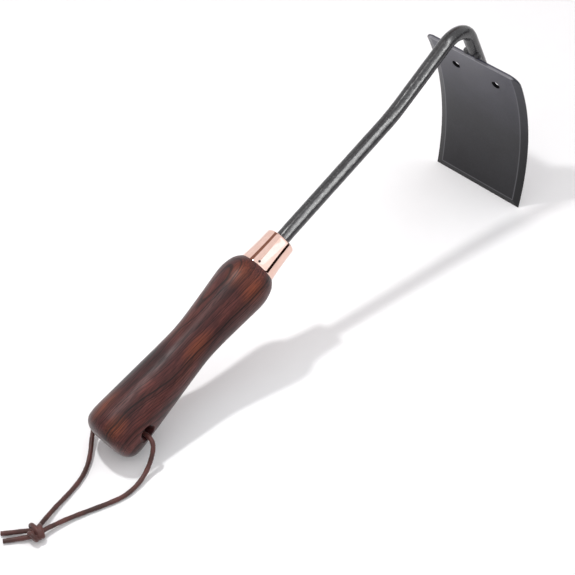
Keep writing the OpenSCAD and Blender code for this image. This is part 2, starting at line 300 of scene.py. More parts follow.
# %% [markdown]
# ## The wooden grip
# The grip is hardwood, turned on a lathe: a round butt, a waist for the fingers and a swell behind
# the collar. We do what the turner does. We draw half of the outline as a line, and spin it about
# the grip's axis. The axis rises 23 degrees, because the tool rests on its butt and its blade.
# %% The grip's outline
TILT_DEG = 23
TILT = math.radians(TILT_DEG)
BUTT = Vector((-0.1488, 0, 0.012361))
ALONG = Vector((math.cos(TILT), 0, math.sin(TILT)))
GRIP_AXES = Matrix.Translation(BUTT) @ Matrix.Rotation(-TILT, 4, "Y")
GRIP_LEN = 119
BUTT_ROUND, BUTT_FLAT_R, RIM_R = 7, 8, 15.9
STATIONS = [(BUTT_ROUND, RIM_R), (11, 16), (24, 15), (43, 13.5), (57, 12.4), (67, 11.9), (77, 12.3),
            (90, 13.4), (102, 14.55), (107, 14.8), (111, 14.4), (115, 13.3), (117.5, 11.8),
            (GRIP_LEN, 10.5)]
rim = [(BUTT_ROUND * (1 - math.cos(math.radians(a))),
        BUTT_FLAT_R + (RIM_R - BUTT_FLAT_R) * math.sin(math.radians(a))) for a in range(0, 90, 6)]
outside = rim + [tuple(p) for p in smooth_line(STATIONS, 6)]
print("outline:", len(outside), "points")

# %% Collar sizes, which the tenon inside it shares
FERRULE_LEN, FERRULE_WALL, FRONT_WALL, FRONT_ROUND = 20.4, 1.0, 1.6, 1.5
TENON_LEN, BORE_R, BORE_START = 17.4, 4.2, 67.4
FERRULE_BACK_R, FERRULE_FRONT_R, FLARE = 10.2, 8.5, 1.6
ROD_R = 4.0


def ferrule_r(t):
    """Outside radius of the collar, t of the way from the wood to its front."""
    return FERRULE_FRONT_R + (FERRULE_BACK_R - FERRULE_FRONT_R) * max(0, 1 - t) ** FLARE


tenon = [(GRIP_LEN + t * FERRULE_LEN, ferrule_r(t) - FERRULE_WALL)
         for t in (0, 0.2, 0.4, 0.6, TENON_LEN / FERRULE_LEN)]
grip_end = GRIP_LEN + TENON_LEN
grip = turned("wood_grip", [(0, 0)] + outside + tenon
              + [(grip_end, BORE_R), (BORE_START, BORE_R), (BORE_START, 0)], GRIP_AXES)

# %% [markdown]
# The lanyard hole goes straight through, and its two mouths are eased so that the lace doesn't
# fray. A drill with flared ends is turned first, and a boolean takes it out of the wood.
# %% Drill the lanyard hole
HOLE_U, HOLE_R, LIP, LIP_START, DRILL_END = 17, 4.0, 1.9, 13.7, 20
lip = [(LIP_START + LIP * math.sin(math.radians(a)),
        HOLE_R + LIP * (1 - math.cos(math.radians(a)))) for a in range(0, 91, 10)]
half = lip + [(DRILL_END, HOLE_R + LIP)]
drill_outline = ([(-DRILL_END, 0)] + [(-x, r) for x, r in reversed(half)]
                 + half + [(DRILL_END, 0)])
drill = turned("drill", drill_outline, Matrix.Translation(BUTT + HOLE_U * MM * ALONG)
               @ Matrix.Rotation(math.pi / 2, 4, "Z"), steps=48)
finish_with(grip, "BOOLEAN", object=drill, operation="DIFFERENCE", solver="EXACT")
bpy.data.objects.remove(drill)
smooth_shade(grip, 30)
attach(grip, "root")
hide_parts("grip")
print("grip:", len(grip.data.polygons), "faces")

# %% [markdown]
# ## The copper collar and its pin
# A collar, or ferrule, keeps the end of the wood from splitting. It is thin sheet, spun to a gentle
# flare with a rolled front lip, so it is turned as a closed outline: out along the outside, round
# the lip and back along the inside. A small pin through it keeps it from sliding.
# %% Turn the collar
front_u = GRIP_LEN + FERRULE_LEN
last_r = ferrule_r(1)
STEPS, STEPS_TO_NOSE = 24, 22
MOUTH_R = ROD_R + 0.05
outer = [(GRIP_LEN + 0.02, FERRULE_BACK_R - 0.3), (GRIP_LEN + 0.1, FERRULE_BACK_R - 0.08),
         (GRIP_LEN + 0.35, FERRULE_BACK_R - 0.02)]
outer += [(GRIP_LEN + t / STEPS * FERRULE_LEN, ferrule_r(t / STEPS))
          for t in range(1, STEPS_TO_NOSE)]
nose = [(front_u - FRONT_ROUND * (1 - math.sin(math.radians(a))),
         last_r - FRONT_ROUND * (1 - math.cos(math.radians(a)))) for a in range(0, 91, 9)]
inner = [(front_u, MOUTH_R), (front_u - FRONT_WALL, MOUTH_R),
         (front_u - FRONT_WALL, last_r - FERRULE_WALL)]
inner += [(GRIP_LEN + t * FERRULE_LEN, ferrule_r(t) - FERRULE_WALL + 0.02)
          for t in (0.8, 0.6, 0.4, 0.2, 0)]
collar = turned("copper_collar", outer + nose + inner + [outer[0]], GRIP_AXES, steps=128)
smooth_shade(collar, 40)
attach(collar, "root")
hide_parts("ferrule")
print("collar:", len(collar.data.polygons), "faces")

# %% [markdown]
# The pin goes in from above, a little to the right, just in front of the wood. Only its domed head
# shows. It is turned like the collar, on an axis that points out of the collar.
# %% Turn the pin
PIN_U, PIN_TURN = 120.9, math.radians(25)
up_from_grip = Vector((-math.sin(TILT), 0, math.cos(TILT)))
pin_way = math.cos(PIN_TURN) * up_from_grip - math.sin(PIN_TURN) * Vector((0, 1, 0))
pin_axes = Matrix((pin_way, ALONG, pin_way.cross(ALONG))).transposed().to_4x4()
PIN_OUTLINE = [(5.2, 0), (5.2, 0.65), (9.95, 0.65), (10.02, 0.72), (10.1, 0.68), (10.17, 0.5),
               (10.21, 0.25), (10.22, 0)]
pin = turned("collar_pin", PIN_OUTLINE,
             Matrix.Translation(BUTT + PIN_U * MM * ALONG) @ pin_axes, steps=24)
smooth_shade(pin, 50)
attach(pin, "root")
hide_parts("ferrule_brad")
print("pin:", len(pin.data.polygons), "faces")

# %% [markdown]
# ## The rod
# The shank is one 8 mm steel rod, bent cold. Its tang is glued into the grip. Then it runs out,
# bends up a little, and turns down over the blade in a tight neck. All bends lie in one plane, so
# the path is a chain of straight runs and arcs, drawn as a turtle draws: go, turn, go.
# %% The rod's path, in millimetres in the plane of the tool
BLADE_C = Vector((-12.937, 24.802))
BLADE_R, BLADE_T, EDGE_A, TOP_A = 166, 2, -8.593, 29.193
SEAT_AT, SEAT_LEN, SEAT_GRIND = 9, 20, 1.0
SEAT_A = TOP_A - math.degrees(SEAT_AT / BLADE_R)
TANG_START, TANG_END, TANG_SHARE = BORE_START + 1, 137.5, 0.875
STUB_LEN, LOWER_LEN = 4, 75
LOWER_RISE, UPPER_RISE = 21, 30.9
SET_R, MID_R, NECK_R = 150, 92, 15.8


def heading(degrees):
    """Unit vector that rises by that angle."""
    return Vector((math.cos(math.radians(degrees)), math.sin(math.radians(degrees))))


def go(path, degrees, length, step=1.0):
    """Straight on, in short steps."""
    start = path[-1].copy()
    n = max(1, round(length / step))
    path += [start + heading(degrees) * length * i / n for i in range(1, n + 1)]


def bend(path, degrees, turn, radius, step=1.0):
    """Round an arc. A positive turn is upward. Returns the new heading."""
    side = 1 if turn > 0 else -1
    centre = path[-1] + side * radius * heading(degrees + 90)
    n = max(2, round(radius * math.radians(abs(turn)) / step))
    path += [centre + side * radius * heading(degrees + turn * i / n - 90)
             for i in range(1, n + 1)]
    return degrees + turn


def on_grip(u):
    """The point on the grip's axis at that distance from its butt."""
    return Vector((BUTT.x, BUTT.z)) / MM + u * heading(TILT_DEG)


neck = [Vector((0, 0))]
seat_fall = bend(neck, UPPER_RISE, SEAT_A - 90 - UPPER_RISE, NECK_R)
rod_path = [on_grip(TANG_START)]
go(rod_path, TILT_DEG, front_u + STUB_LEN - TANG_START)
tang_points = sum(1 for p in rod_path if (p - on_grip(0)).length < TANG_END)
bend(rod_path, TILT_DEG, LOWER_RISE - TILT_DEG, SET_R)
go(rod_path, LOWER_RISE, LOWER_LEN)
bend(rod_path, LOWER_RISE, UPPER_RISE - LOWER_RISE, MID_R)
seat = heading(SEAT_A)
seat_line = BLADE_C + (BLADE_R + ROD_R - SEAT_GRIND) * seat
upper_len = (seat_line - rod_path[-1] - neck[-1]).dot(seat) / heading(UPPER_RISE).dot(seat)
go(rod_path, UPPER_RISE, upper_len)
bend(rod_path, UPPER_RISE, seat_fall - UPPER_RISE, NECK_R, step=0.8)
fall = (BLADE_C + BLADE_R * heading(TOP_A) - rod_path[-1]).dot(heading(seat_fall)) + SEAT_LEN
go(rod_path, seat_fall, fall)
print("rod:", len(rod_path), "points, upper run", round(upper_len, 2), "mm")

# %% [markdown]
# The rod was hammered and then coated, so it isn't perfectly round. The dents are real shape, not
# only bump: a displace modifier moves the skin by up to 0.07 mm with a soft cloud pattern. A bump
# map would be cheaper, but its outline would stay straight.
# %% Sweep and dent the rod
rod = swept("steel_rod", [Vector((p.x, 0, p.y)) * MM for p in rod_path], ROD_R * MM,
            [TANG_SHARE if i < tang_points else 1 for i in range(len(rod_path))], sides=10)
dents = bpy.data.textures.new("hammer_dents", "CLOUDS")
dents.noise_scale = 0.003
dents.noise_depth = 1
finish_with(rod, "DISPLACE", texture=dents, texture_coords="LOCAL", strength=0.14 * MM,
            mid_level=0.5)
finish_with(rod, "BEVEL", width=0.4 * MM, segments=2, limit_method="ANGLE",
            angle_limit=math.radians(60))
smooth_shade(rod, 50)
print("dented rod:", len(rod.data.polygons), "faces")
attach(rod, "root")
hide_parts("shank")

# %% [markdown]
# ## The blade
# The blade is 2 mm plate, rolled to a gentle curve, with its two sides and its cutting edge ground
# to a bevel on the inner face. A flat plate could be bent with a modifier, but its section is the
# same all the way down, so we draw that section once, bevels included, and spin it about the centre
# of the curve. The rings are then narrowed towards the cutting edge.
# %% Spin the plate
TOP_HALF, EDGE_HALF, SIDE_BEVEL, SIDE_LAND = 33.4, 31.4, 4.6, 0.6
ROUNDS = 48
inside_r = BLADE_R - BLADE_T
section = [(BLADE_R, -TOP_HALF), (BLADE_R - SIDE_LAND, -TOP_HALF),
           (inside_r, SIDE_BEVEL - TOP_HALF)]
BETWEEN = (-18, -9, 0, 9, 18)
section += [(inside_r, y) for y in BETWEEN]
section += [(inside_r, TOP_HALF - SIDE_BEVEL), (BLADE_R - SIDE_LAND, TOP_HALF),
            (BLADE_R, TOP_HALF)]
section += [(BLADE_R, y) for y in reversed(BETWEEN)]
pick_nothing()
bpy.ops.mesh.primitive_circle_add(vertices=len(section), radius=MM, fill_type="NGON")
blade = bpy.context.object
blade.name = "blade"
start, centre = heading(EDGE_A), Vector((BLADE_C.x, 0, BLADE_C.y)) * MM
for v, (r, y) in zip(blade.data.vertices, section):
    v.co = centre + Vector((start.x * r, y, start.y * r)) * MM
bpy.ops.object.mode_set(mode="EDIT")
bpy.ops.mesh.select_all(action="SELECT")
bpy.ops.mesh.spin(steps=ROUNDS, angle=math.radians(TOP_A - EDGE_A), center=centre,
                  axis=(0, 1, 0))
bpy.ops.object.mode_set(mode="OBJECT")
print("blade top:", round(max(v.co.z for v in blade.data.vertices) / MM, 2), "mm")

# %% [markdown]
# The spin leaves a tube that is open at both ends, so each end gets a face. Then each vertex moves
# towards the middle by a share that grows towards the cutting edge.
# %% Close its ends and narrow it towards the edge
pick(blade)
bpy.ops.object.mode_set(mode="EDIT")
bpy.ops.mesh.select_all(action="DESELECT")
bpy.ops.mesh.select_non_manifold()
bpy.ops.mesh.edge_face_add()
bpy.ops.mesh.select_all(action="SELECT")
bpy.ops.mesh.normals_make_consistent(inside=False)
bpy.ops.object.mode_set(mode="OBJECT")
top_z = (BLADE_C.y + BLADE_R * heading(TOP_A).y) * MM
for v in blade.data.vertices:
    arm = (v.co - centre) / MM
    ring_z = (BLADE_C.y + BLADE_R * arm.z / math.hypot(arm.x, arm.z)) * MM
    v.co.y *= (EDGE_HALF + (TOP_HALF - EDGE_HALF) * ring_z / top_z) / TOP_HALF
print("half width at the edge:", EDGE_HALF, "mm, at the top:", TOP_HALF, "mm")


def slice_off(piece, point, outward):
    """Cut a piece flat with a plane, and throw away what is on its outer side."""
    pick(piece)
    bpy.ops.object.mode_set(mode="EDIT")
    bpy.ops.mesh.select_all(action="SELECT")
    bpy.ops.mesh.bisect(plane_co=point, plane_no=outward, use_fill=True, clear_outer=True)
    bpy.ops.object.mode_set(mode="OBJECT")


# %% [markdown]
# The cutting edge is ground with one slanted cut. The two top corners are rounded with a fan of
# small cuts, as a grinder would take them off. The bevel operator could round them too, but the
# side bevel meets the corner there, and flat cuts never tangle.
# %% Grind the cutting edge and round the corners
EDGE_BEVEL, EDGE_LAND, CORNER_R = 4, 0.5, 7
bevel_top = BLADE_C + inside_r * heading(EDGE_A + math.degrees(EDGE_BEVEL / BLADE_R))
bevel_foot = BLADE_C + (BLADE_R - EDGE_LAND) * heading(EDGE_A)
slope = (bevel_foot - bevel_top).normalized()
slice_off(blade, Vector((bevel_top.x, 0, bevel_top.y)) * MM, (slope.y, 0, -slope.x))
top_way, down_way = heading(TOP_A), heading(TOP_A - 90)
corner_at = BLADE_C + BLADE_R * top_way + CORNER_R * down_way
for side in (1, -1):
    pivot = Vector((corner_at.x, side * (TOP_HALF - CORNER_R), corner_at.y)) * MM
    for degrees in range(5, 90, 10):
        a = math.radians(degrees)
        up = -down_way * math.sin(a)
        out = Vector((up.x, side * math.cos(a), up.y))
        slice_off(blade, pivot + out * CORNER_R * MM, out)
print("after grinding:", len(blade.data.polygons), "faces")

# %% [markdown]
# Two holes are drilled near the top. The drill is a cylinder primitive, and the boolean modifier
# takes it away. Then a narrow bevel breaks every sharp edge, which is what catches the light on
# real coated steel.
# %% Drill the blade and break its edges
HOLE_A, BLADE_HOLE_R, HOLE_Y = 22.98, 2.75, 14.3
hole_at = BLADE_C + BLADE_R * heading(HOLE_A)
for side in (1, -1):
    pick_nothing()
    bpy.ops.mesh.primitive_cylinder_add(
        vertices=40, radius=BLADE_HOLE_R * MM, depth=0.02,
        location=Vector((hole_at.x, side * HOLE_Y, hole_at.y)) * MM,
        rotation=(0, math.radians(90 - HOLE_A), 0))
    bit = bpy.context.object
    finish_with(blade, "BOOLEAN", object=bit, operation="DIFFERENCE", solver="EXACT")
    bpy.data.objects.remove(bit)
finish_with(blade, "BEVEL", width=0.22 * MM, segments=2, limit_method="ANGLE",
            angle_limit=math.radians(17), use_clamp_overlap=True)
smooth_shade(blade, 12)
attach(blade, "root")
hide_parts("blade")
print("blade:", len(blade.data.polygons), "faces")

# %% [markdown]
# ## The welds
# Two beads of weld hold the rod against the back of the blade. A bead is a row of overlapping
# puddles, so each one is a row of small spheres of uneven size, fused with a remesh and smoothed.
# %% Lay the two beads
BEAD_FROM, BEAD_STEP, BEADS = -0.6, 1.1, 20
BEAD_OUT, BEAD_ASIDE, BEAD_R, UNEVEN = 0.9, 3.6, 1.9, 0.2


def weld_bead(name, side):
    """A row of puddles beside the rod. side is 1 for the left of the tool."""
    puddles = []
    for i in range(BEADS):
        arc = BEAD_FROM + i * BEAD_STEP
        way = heading(TOP_A - math.degrees(arc / BLADE_R))
        spot = BLADE_C + (BLADE_R + BEAD_OUT + UNEVEN * math.sin(2.1 * i)) * way
        aside = side * (BEAD_ASIDE + UNEVEN * math.sin(2.9 * i))
        pick_nothing()
        bpy.ops.mesh.primitive_ico_sphere_add(
            subdivisions=3, radius=(BEAD_R + UNEVEN * math.sin(1.7 * i + side)) * MM,
            location=Vector((spot.x, aside, spot.y)) * MM)
        puddles.append(bpy.context.object)
        settle(puddles[-1])
    bead = fused(puddles, name, 0.4 * MM, 3)
    smooth_shade(bead, 60)
    return bead


for name, node, side in (("weld_bead_left", "weld_left", 1),
                         ("weld_bead_right", "weld_right", -1)):
    bead = weld_bead(name, side)
    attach(bead, "root")
    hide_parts(node)
    print(name, len(bead.data.polygons), "faces")

# %% [markdown]
# ## Finishes
# Every finish is a Principled shader with procedural patterns on the object's own coordinates, so
# a pattern stays on its piece. Values that are the same all over are set on the shader itself.
# %% A small kit for shaders
def adder(tree):
    """Returns a function that adds a node to this tree and gives back its first output."""
    def add(kind, links=(), **settings):
        """links pairs a socket with a value or with another socket."""
        node = tree.nodes.new("ShaderNode" + kind)
        for key, value in settings.items():
            setattr(node, key, value)
        for key, value in dict(links).items():
            if isinstance(value, bpy.types.NodeSocket):
                tree.links.new(value, node.inputs[key])
            else:
                node.inputs[key].default_value = value
        return node.outputs[0]
    return add


def new_finish(name, **values):
    """A material with these shader values, a function that adds nodes and one that links."""
    finish = bpy.data.materials.new(name)
    finish.use_nodes = True
    tree = finish.node_tree
    shader = tree.nodes["Principled BSDF"]
    for key, value in values.items():
        shader.inputs[key.replace("_", " ")].default_value = value

    def into(key, value):
        tree.links.new(value, shader.inputs[key])

    return finish, adder(tree), into


def dress(piece, finish):
    """Give a piece this finish and no other."""
    piece.data.materials.clear()
    piece.data.materials.append(finish)
    print(piece.name, "wears", finish.name)


# %% Sums, vectors, mixes and ramps
def calc(add, operation, *values):
    return add("Math", enumerate(values), operation=operation)


def vector(add, operation, *values):
    return add("VectorMath", enumerate(values), operation=operation)


def length(add, value):
    return vector(add, "LENGTH", value).node.outputs["Value"]


def fall(add, value, start, end, high=1.0, low=0.0):
    """high up to start, then down to low at end."""
    return add("MapRange", {"Value": value, "From Min": start, "From Max": end,
                            "To Min": high, "To Max": low})


def mixed(add, share, a, b, kind="MIX"):
    """Colour a with a share of b mixed in, or of the two multiplied."""
    mix = add("Mix", {0: share, 6: a, 7: b}, data_type="RGBA", blend_type=kind)
    return mix.node.outputs[2]


def times(add, a, b, share=1.0):
    """One colour multiplied by another."""
    return mixed(add, share, a, b, "MULTIPLY")


def ramp(add, value, stops):
    """Colours or greys at positions from 0 to 1."""
    out = add("ValToRGB", {"Fac": value})
    elements = out.node.color_ramp.elements
    while len(elements) < len(stops):
        elements.new(0.5)
    for element, (position, colour) in zip(elements, stops):
        element.position = position
        element.color = (*colour, 1) if isinstance(colour, tuple) else (colour,) * 3 + (1,)
    return out


def object_spot(add):
    """The place on the object, in metres from its origin."""
    return add("TexCoord").node.outputs["Object"]


def grip_spot(add):
    """The same place, measured from the butt, with X along the grip."""
    return add("Mapping", {"Vector": object_spot(add), "Location": BUTT,
                           "Rotation": (0, -TILT, 0)}, vector_type="TEXTURE")


# %% [markdown]
# The wood is a dark red tropical kind, stained and oiled. Growth rings are cylinders about the
# heart of the tree, and the grip was cut a little off that heart, so they come out as long arches.
# We measure the distance from a slanted heart line, and let an uneven noise turn it into dark
# lines. A slow noise shifts every point a little first, so that no line is quite straight.
# %% Growth rings
wood, add, into = new_finish("oiled_rosewood", Specular_IOR_Level=0.25, Sheen_Weight=0.22,
                             Sheen_Roughness=0.35)
DRIFT = 0.0065
HEART_Y, HEART_Z = (0.16, -0.024), (-0.09, -0.016)   # slope of the heart line and its offset
spot = grip_spot(add)
drift = add("TexNoise", {"Vector": spot, "Scale": 26, "Detail": 2}).node.outputs["Color"]
drift = vector(add, "SUBTRACT", drift, (0.5, 0.5, 0.5))
drift = add("VectorMath", {0: drift, 3: DRIFT}, operation="SCALE")
xyz = add("SeparateXYZ", {"Vector": vector(add, "ADD", spot, drift)}).node.outputs
heart_y, heart_z = [
    calc(add, "ADD", calc(add, "MULTIPLY_ADD", xyz[0], slope, value), offset)
    for (slope, offset), value in ((HEART_Y, xyz[1]), (HEART_Z, xyz[2]))]
ring = length(add, add("CombineXYZ", {"X": heart_y, "Y": heart_z}))
lines = add("TexNoise", {"W": ring, "Scale": 1150, "Detail": 3, "Roughness": 0.62},
            noise_dimensions="1D")
broad = add("TexNoise", {"W": ring, "Scale": 190, "Detail": 2}, noise_dimensions="1D")
line_grey = ramp(add, lines, [(0.34, 0.3), (0.45, 0.85), (0.60, 1.05)])
broad_grey = ramp(add, broad, [(0.36, 0.62), (0.62, 1.15)])

# %% [markdown]
# Pores are long and thin, so their noise is stretched along the grip. Another slow noise moves the
# colour from maroon to rust.
# %% Pores and colour
long_grain = vector(add, "MULTIPLY", spot, (45, 1500, 1500))
pores = add("TexNoise", {"Vector": long_grain, "Scale": 1, "Detail": 3, "Roughness": 0.6})
pore_grey = ramp(add, pores, [(0.36, 0.55), (0.52, 1.0), (0.72, 1.25)])
slow = vector(add, "MULTIPLY", spot, (26, 60, 60))
slow = add("TexNoise", {"Vector": slow, "Scale": 1, "Detail": 3, "Roughness": 0.55})
MAROON, BROWN, RUST = (0.027, 0.0072, 0.0072), (0.052, 0.0126, 0.0124), (0.088, 0.0218, 0.0185)
SIENNA, EMBER = (0.12, 0.035, 0.025), (0.26, 0.058, 0.018, 1)
body = ramp(add, slow, [(0.30, MAROON), (0.46, BROWN), (0.62, RUST), (0.80, SIENNA)])

# %% [markdown]
# On the two swells and at the waist the wood turns a warmer orange. Each
# such patch is a soft ellipsoid about a place on the grip. The strongest patch wins at each point.
# %% Warm patches
PATCHES = [((109, -3, 14.5), (11, 8, 8)), ((107, -12, 8), (10, 8, 8)),
           ((13, 6.5, 14), (13, 5, 8)), ((8, -7, 13), (9, 6, 8)), ((66, -9, 8), (13, 4.5, 7))]
PATCH_STRENGTH = 0.62


def glow(at, reach):
    """A soft patch, with its place and its reach in millimetres along and across the grip."""
    away = vector(add, "SUBTRACT", spot, Vector(at) * MM)
    away = vector(add, "MULTIPLY", away, [1 / (k * MM) for k in reach])
    return ramp(add, length(add, away), [(0.0, 1.0), (1.0, 0.0)])


warmth = glow(*PATCHES[0])
for at, reach in PATCHES[1:]:
    warmth = calc(add, "MAXIMUM", warmth, glow(at, reach))
body = mixed(add, calc(add, "MULTIPLY", warmth, PATCH_STRENGTH), body, EMBER)
into("Base Color", times(add, times(add, times(add, body, line_grey), broad_grey), pore_grey))
into("Roughness", ramp(add, pores, [(0.3, 0.54), (0.6, 0.4)]))
grain_height = calc(add, "ADD", pore_grey, line_grey)
into("Normal", add("Bump", {"Height": grain_height, "Strength": 0.12, "Distance": 0.12 * MM}))
dress(grip, wood)

# %% [markdown]
# Copper is a pure metal, so its colour is the colour of its reflections. Only fine polishing lines
# that run round the collar and a few faint smudges break its mirror.
# %% Polished copper
copper, add, into = new_finish("polished_copper", Metallic=1.0)
spot = grip_spot(add)
fine = vector(add, "MULTIPLY", spot, (9000, 160, 160))
fine = add("TexNoise", {"Vector": fine, "Scale": 1, "Detail": 2})
smudge = add("TexNoise", {"Vector": spot, "Scale": 240, "Detail": 3})
into("Roughness", ramp(add, smudge, [(0.35, 0.035), (0.7, 0.1)]))
into("Normal", add("Bump", {"Height": fine, "Strength": 0.06, "Distance": 0.02 * MM}))
shine = ramp(add, smudge, [(0.3, (0.78, 0.53, 0.45)), (0.7, (0.85, 0.6, 0.52))])

# %% [markdown]
# The sheet was closed to a tube before it was spun to shape, so a faint seam shows from the pin
# forward, until it fades out. It is a thin line in the plane of the pin, on the upper side only.
# %% The collar's seam
SEAM_SHARE, SEAM_COLOUR = 0.45, (0.4, 0.25, 0.19, 1)
xyz = add("SeparateXYZ", {"Vector": spot}).node.outputs
off_seam = calc(add, "MULTIPLY", xyz[1], math.cos(PIN_TURN))
off_seam = calc(add, "MULTIPLY_ADD", xyz[2], math.sin(PIN_TURN), off_seam)
seam = fall(add, calc(add, "ABSOLUTE", off_seam), 0.08 * MM, 0.3 * MM, SEAM_SHARE)
seam = calc(add, "MULTIPLY", seam, fall(add, xyz[0], 0.122, 0.136))
seam = calc(add, "MULTIPLY", seam, calc(add, "GREATER_THAN", xyz[2], 0.0))
into("Base Color", mixed(add, seam, shine, SEAM_COLOUR))
dress(collar, copper)


# %% [markdown]
# The rod and the blade share a baked dark grey coat. On the rod it is glossier and lies over hammer
# marks. On the blade it is smoother, with faint cloudy patches where the coat is thinner.
# %% Coated steel
def coat_finish(name, dark, light, rough, grain, extra=None, **values):
    """A dark baked coat: cloudy colour, uneven gloss and a fine orange-peel skin."""
    finish, add, into = new_finish(name, **values)
    spot = object_spot(add)
    cloud = add("TexNoise", {"Vector": spot, "Scale": 70, "Detail": 4, "Roughness": 0.6})
    speck = add("TexNoise", {"Vector": spot, "Scale": grain, "Detail": 3, "Roughness": 0.55})
    tone = ramp(add, cloud, [(0.3, dark), (0.7, light)])
    tone = times(add, tone, ramp(add, speck, [(0.35, 0.65), (0.65, 1.2)]), 0.6)
    into("Base Color", extra(add, spot, tone) if extra else tone)
    into("Roughness", ramp(add, speck, [(0.3, rough[0]), (0.7, rough[1])]))
    into("Normal", add("Bump", {"Height": speck, "Strength": 0.25, "Distance": 0.12 * MM}))
    return finish


dress(rod, coat_finish("hammered_steel_coat", (0.02, 0.02, 0.0215), (0.032, 0.032, 0.034),
                       (0.18, 0.3), 700, Specular_IOR_Level=0.5))
weld_coat = coat_finish("weld_coat", (0.016, 0.016, 0.018), (0.034, 0.034, 0.037),
                        (0.3, 0.5), 1400, Specular_IOR_Level=0.5)
for name in ("weld_bead_left", "weld_bead_right"):
    dress(bpy.data.objects[name], weld_coat)

# %% [markdown]
# On the blade a pale line runs along the ridges where the bevels start and along the top edge. It
# is painted highlight where those edges catch the light, on a coat that is rubbed thin there. The
# blade is also painted darker towards the cutting edge, as painted shade, and lighter and bluer
# towards the top, as a painted reflection of the sky. The ridges run at a fixed share of the width,
# so a few sums on the position find them. Only the inner face gets the pale lines.
# %% Where the blade gets its painted highlight lines
# The pale lines are painted highlight where the edges catch the light, on coat rubbed thin there.
RIDGE_WIDE, TOP_LINE_AT, TOP_LINE_WIDE = 0.55, 0.35, 0.9
RIDGE_HIGHLIGHT_AND_WEAR, BARE_COAT_AND_HIGHLIGHT = 0.32, (0.2, 0.2, 0.215, 1)


def past_ridge(add, xyz):
    """Metres from the ridge of the side bevel, and above 0 on the bevel itself."""
    half = calc(add, "MULTIPLY_ADD", xyz[2], (TOP_HALF - EDGE_HALF) * MM / top_z,
                EDGE_HALF * MM)
    aside = calc(add, "ABSOLUTE", xyz[1])
    return calc(add, "MULTIPLY_ADD", half, SIDE_BEVEL / TOP_HALF - 1, aside)


def line(add, value, at, wide):
    """1 where the value is near a place, 0 where it is further off. Lengths in metres."""
    off = calc(add, "ABSOLUTE", calc(add, "SUBTRACT", value, at))
    return fall(add, off, 0.2 * wide, wide)


def highlight_and_wear(add, spot, xyz, ridge):
    """Strength of the painted highlight on the ridges and top edge, where the coat is worn, 0 to 1.
    """
    arm = vector(add, "MULTIPLY", vector(add, "SUBTRACT", spot, centre), (1, 0, 1))
    front = fall(add, length(add, arm), (BLADE_R - 1.1) * MM, (BLADE_R - 0.7) * MM)
    down = vector(add, "DOT_PRODUCT", arm, (top_way.y, 0, -top_way.x)).node.outputs["Value"]
    above = calc(add, "GREATER_THAN", xyz[2], bevel_top.y * MM)
    sides = calc(add, "MULTIPLY", line(add, ridge, 0.0, RIDGE_WIDE * MM), above)
    foot = line(add, xyz[2], bevel_top.y * MM, RIDGE_WIDE * MM)
    foot = calc(add, "MULTIPLY", foot, calc(add, "LESS_THAN", ridge, 0.0))
    ridges = calc(add, "MULTIPLY", calc(add, "MAXIMUM", sides, foot), RIDGE_HIGHLIGHT_AND_WEAR)
    top = line(add, down, TOP_LINE_AT * MM, TOP_LINE_WIDE * MM)
    return calc(add, "MULTIPLY", calc(add, "MAXIMUM", ridges, top), front)


# %% The blade's coat
def blade_tone_and_painted_light(add, spot, tone):
    """Painted shade low down and on the bevels, painted sky reflection at the top, highlight lines.
    """
    xyz = add("SeparateXYZ", {"Vector": spot}).node.outputs
    ridge = past_ridge(add, xyz)
    # Painted shade towards the cutting edge, and a lighter, bluer painted reflection towards the
    # top.
    height = add("MapRange", {"Value": xyz[2], "From Max": top_z})
    tone = times(add, tone, ramp(add, height, [(0.0, (0.3, 0.28, 0.32)),
                                               (0.45, (0.62, 0.62, 0.68)),
                                               (1.0, (1.35, 1.35, 1.8))]))
    # Painted shade on the side bevels.
    tone = times(add, tone, fall(add, ridge, 0.0, 0.5 * MM, 1.0, 0.55))
    return mixed(add, highlight_and_wear(add, spot, xyz, ridge), tone, BARE_COAT_AND_HIGHLIGHT)


dress(blade, coat_finish("blade_coat", (0.026, 0.026, 0.0285), (0.034, 0.034, 0.0375),
                         (0.3, 0.4), 900, blade_tone_and_painted_light, Specular_IOR_Level=0.35))

# %% [markdown]
# The walls of the two holes are painted nearly black, as painted shade inside the holes. They get a
# second material slot, and their faces are found by place: near a hole's axis and square to it.
# %% Painted shade on the walls of the blade's holes
hole_painted_shade, add, into = new_finish("hole_painted_shade", Specular_IOR_Level=0.05, Roughness=0.9)
shade_noise = add("TexNoise", {"Vector": object_spot(add), "Scale": 1500})
into("Base Color", ramp(add, shade_noise, [(0.3, (0.003, 0.003, 0.004)), (0.7, (0.008, 0.008, 0.009))]))
blade.data.materials.append(hole_painted_shade)
hole_way = Vector((heading(HOLE_A).x, 0, heading(HOLE_A).y))
for face in blade.data.polygons:
    for side in (1, -1):
        arm = face.center - Vector((hole_at.x, side * HOLE_Y, hole_at.y)) * MM
        arm -= hole_way * arm.dot(hole_way)
        if arm.length < (BLADE_HOLE_R + 0.02) * MM and abs(face.normal.dot(hole_way)) < 0.3:
            face.material_index = 1
print("hole faces:", sum(face.material_index for face in blade.data.polygons))

